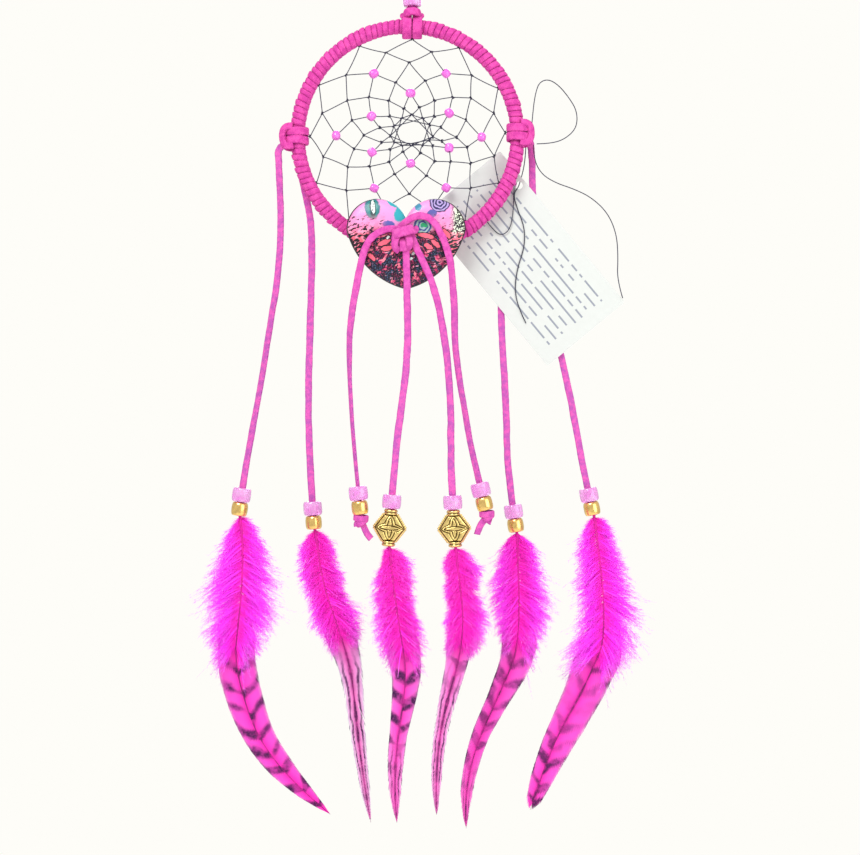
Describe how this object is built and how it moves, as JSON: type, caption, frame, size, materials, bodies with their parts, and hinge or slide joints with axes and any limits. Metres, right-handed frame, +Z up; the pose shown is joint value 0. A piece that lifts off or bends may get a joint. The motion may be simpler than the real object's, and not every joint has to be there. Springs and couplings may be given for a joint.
{
  "type": "dream catcher",
  "caption": "Wall-hung dream catcher: lace-wrapped ring with a beaded thread web, a puffed heart, swinging bead and feather tassels, and a swing tag.",
  "frame": {"origin": "inside top of the hanging loop, where a hook takes it", "axes": "+Z up, +X to the right as seen from the front, front towards -Y; the ring lies in the XZ plane"},
  "size_m": [0.1989, 0.031, 0.4606],
  "materials": {
    "ring_metal": "plain steel wire",
    "wrap_lace": "hot pink suede lace wrapped edge to edge",
    "lace": "mauve pink suede lace",
    "web_thread": "waxed dark thread",
    "tag_thread": "waxed dark thread",
    "web_bead": "frosted orchid bead",
    "pony_bead": "clear pink plastic",
    "gold": "plated gold colour",
    "antique_gold": "antiqued, dark in the grooves",
    "heart": "glossy, patterned",
    "card": "white card",
    "feather": "dyed feather, fluffy above and barred below"
  },
  "bodies": {
    "hanger": {"hanging_lace": "lace", "top_knot": "lace", "hanger_bead": "pony_bead", "loop_knot": "lace"},
    "hoop": {"ring_core": "ring_metal", "ring_wrap": "wrap_lace", "web": "web_thread", "web_beads": "web_bead", "left_knot": "lace", "right_knot": "lace", "heart": "heart", "heart_knot": "lace", "heart_binding": "lace", "heart_lace_3": "lace", "heart_lace_4": "lace", "heart_lace_5": "lace", "heart_lace_6": "lace", "tag_thread_loop": "tag_thread", "tag_thread_long": "tag_thread", "tag_thread_short": "tag_thread", "tag_thread_curl": "tag_thread"},
    "tag": {"tag_card": "card"},
    "tassel_1": {"strand_1": "lace"},
    "tassel_2": {"strand_2": "lace"},
    "tassel_3": {"strand_3": "lace", "end_knot_3": "lace"},
    "tassel_4": {"strand_4": "lace"},
    "tassel_5": {"strand_5": "lace"},
    "tassel_6": {"strand_6": "lace", "end_knot_6": "lace"},
    "tassel_7": {"strand_7": "lace"},
    "tassel_8": {"strand_8": "lace"},
    "beads_1": {"pony_bead_1": "pony_bead"},
    "beads_2": {"pony_bead_2": "pony_bead"},
    "beads_3": {"pony_bead_3": "pony_bead", "gold_bead_3": "gold"},
    "beads_4": {"pony_bead_4": "pony_bead"},
    "beads_5": {"pony_bead_5": "pony_bead"},
    "beads_6": {"pony_bead_6": "pony_bead", "gold_bead_6": "gold"},
    "beads_7": {"pony_bead_7": "pony_bead"},
    "beads_8": {"pony_bead_8": "pony_bead"},
    "drop_1": {"gold_bead_1": "gold", "feather_1": "feather"},
    "drop_2": {"gold_bead_2": "gold", "feather_2": "feather"},
    "drop_4": {"diamond_bead_4": "antique_gold", "feather_4": "feather"},
    "drop_5": {"diamond_bead_5": "antique_gold", "feather_5": "feather"},
    "drop_7": {"gold_bead_7": "gold", "feather_7": "feather"},
    "drop_8": {"gold_bead_8": "gold", "feather_8": "feather"}
  },
  "joints": [
    {"name": "hoop_tilt", "type": "hinge", "parent": "hanger", "child": "hoop", "pos_m": [0.0021, 0, -0.09], "axis": [-1, 0, 0], "range_deg": [-60, 60]},
    {"name": "tag_swing", "type": "hinge", "parent": "hoop", "child": "tag", "pos_m": [0.0511, 0.0054, -0.1617], "axis": [0, 1, 0], "range_deg": [-20, 20]},
    {"name": "tassel_1_swing", "type": "hinge", "parent": "hoop", "child": "tassel_1", "pos_m": [-0.0589, 0, -0.152], "axis": [-1, 0, 0], "range_deg": [-60, 60]},
    {"name": "tassel_2_swing", "type": "hinge", "parent": "hoop", "child": "tassel_2", "pos_m": [-0.0506, 0.0052, -0.148], "axis": [-1, 0, 0], "range_deg": [-60, 0]},
    {"name": "tassel_3_swing", "type": "hinge", "parent": "hoop", "child": "tassel_3", "pos_m": [-0.0205, -0.0148, -0.1973], "axis": [-1, 0, 0], "range_deg": [0, 60]},
    {"name": "tassel_4_swing", "type": "hinge", "parent": "hoop", "child": "tassel_4", "pos_m": [-0.0003, -0.0148, -0.1973], "axis": [-1, 0, 0], "range_deg": [0, 60]},
    {"name": "tassel_5_swing", "type": "hinge", "parent": "hoop", "child": "tassel_5", "pos_m": [0.0066, -0.0148, -0.1973], "axis": [-1, 0, 0], "range_deg": [0, 60]},
    {"name": "tassel_6_swing", "type": "hinge", "parent": "hoop", "child": "tassel_6", "pos_m": [0.0193, -0.0148, -0.1973], "axis": [-1, 0, 0], "range_deg": [0, 60]},
    {"name": "tassel_7_swing", "type": "hinge", "parent": "hoop", "child": "tassel_7", "pos_m": [0.0505, 0.0076, -0.146], "axis": [-1, 0, 0], "range_deg": [-60, 0]},
    {"name": "tassel_8_swing", "type": "hinge", "parent": "hoop", "child": "tassel_8", "pos_m": [0.0571, 0.0076, -0.146], "axis": [-1, 0, 0], "range_deg": [-60, 0]},
    {"name": "beads_1_slide", "type": "slide", "parent": "tassel_1", "child": "beads_1", "axis": [0.1365, 0, 0.9906], "range_m": [0, 0.01]},
    {"name": "beads_2_slide", "type": "slide", "parent": "tassel_2", "child": "beads_2", "axis": [-0.0652, 0, 0.9979], "range_m": [0, 0.01]},
    {"name": "beads_3_slide", "type": "slide", "parent": "tassel_3", "child": "beads_3", "axis": [-0.1055, 0, 0.9944], "range_m": [0, 0.01]},
    {"name": "beads_4_slide", "type": "slide", "parent": "tassel_4", "child": "beads_4", "axis": [0.0767, 0, 0.9971], "range_m": [0, 0.01]},
    {"name": "beads_5_slide", "type": "slide", "parent": "tassel_5", "child": "beads_5", "axis": [-0.0585, 0, 0.9983], "range_m": [0, 0.01]},
    {"name": "beads_6_slide", "type": "slide", "parent": "tassel_6", "child": "beads_6", "axis": [-0.2456, 0, 0.9694], "range_m": [0, 0.01]},
    {"name": "beads_7_slide", "type": "slide", "parent": "tassel_7", "child": "beads_7", "axis": [-0.147, 0, 0.9891], "range_m": [0, 0.01]},
    {"name": "beads_8_slide", "type": "slide", "parent": "tassel_8", "child": "beads_8", "axis": [-0.2069, 0, 0.9784], "range_m": [0, 0.01]},
    {"name": "feather_1_twist", "type": "hinge", "parent": "tassel_1", "child": "drop_1", "pos_m": [-0.0767, 0, -0.3101], "axis": [0.1365, 0, 0.9906], "range_deg": [-45, 45]},
    {"name": "feather_2_twist", "type": "hinge", "parent": "tassel_2", "child": "drop_2", "pos_m": [-0.0432, 0.0052, -0.3165], "axis": [-0.0652, 0, 0.9979], "range_deg": [-45, 45]},
    {"name": "feather_4_twist", "type": "hinge", "parent": "tassel_4", "child": "drop_4", "pos_m": [-0.0079, -0.0148, -0.3179], "axis": [0.0767, 0, 0.9971], "range_deg": [-45, 45]},
    {"name": "feather_5_twist", "type": "hinge", "parent": "tassel_5", "child": "drop_5", "pos_m": [0.0211, -0.0148, -0.3183], "axis": [-0.0585, 0, 0.9983], "range_deg": [-45, 45]},
    {"name": "feather_7_twist", "type": "hinge", "parent": "tassel_7", "child": "drop_7", "pos_m": [0.0496, 0.0076, -0.3179], "axis": [-0.147, 0, 0.9891], "range_deg": [-45, 45]},
    {"name": "feather_8_twist", "type": "hinge", "parent": "tassel_8", "child": "drop_8", "pos_m": [0.0847, 0.0076, -0.3102], "axis": [-0.2069, 0, 0.9784], "range_deg": [-45, 45]}
  ]
}
